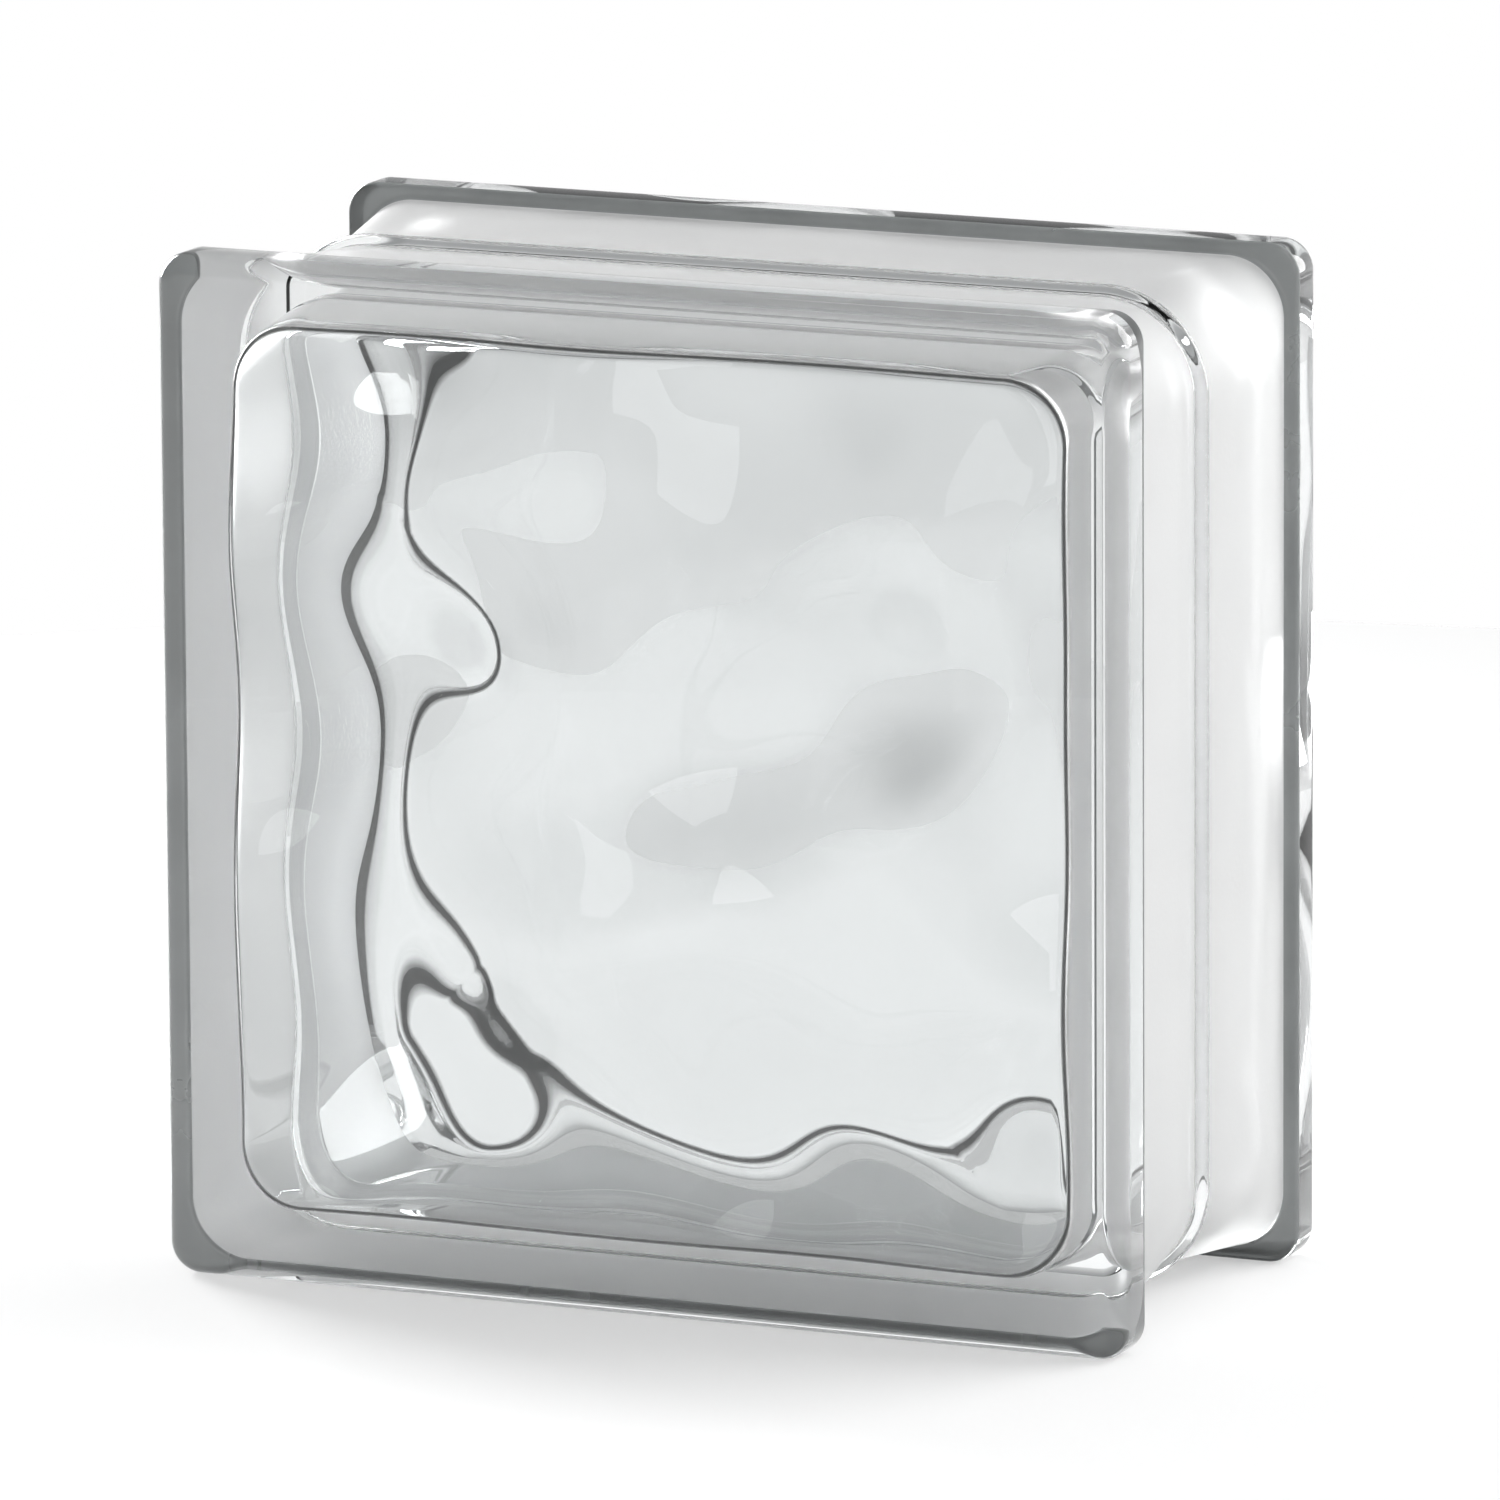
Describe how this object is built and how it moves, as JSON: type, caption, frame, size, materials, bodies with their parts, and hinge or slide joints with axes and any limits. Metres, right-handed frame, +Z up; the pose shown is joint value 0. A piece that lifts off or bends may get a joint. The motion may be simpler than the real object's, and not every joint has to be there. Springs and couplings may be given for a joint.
{
  "type": "glass block",
  "caption": "Square hollow glass block with flat outer faces, waved inner faces, flanged rims and a sunken side channel for mortar joints in a translucent wall.",
  "frame": {"origin": "middle of the underside, where the block stands on the lower edges of its two flanges", "axes": "+X across the face, +Y from the front face to the back face, +Z up"},
  "size_m": [0.19, 0.095, 0.19],
  "materials": {
    "glass": "clear pressed glass, sides between the flanges coated satin white"
  },
  "bodies": {
    "root": {"glass_block": "glass"}
  },
  "joints": []
}
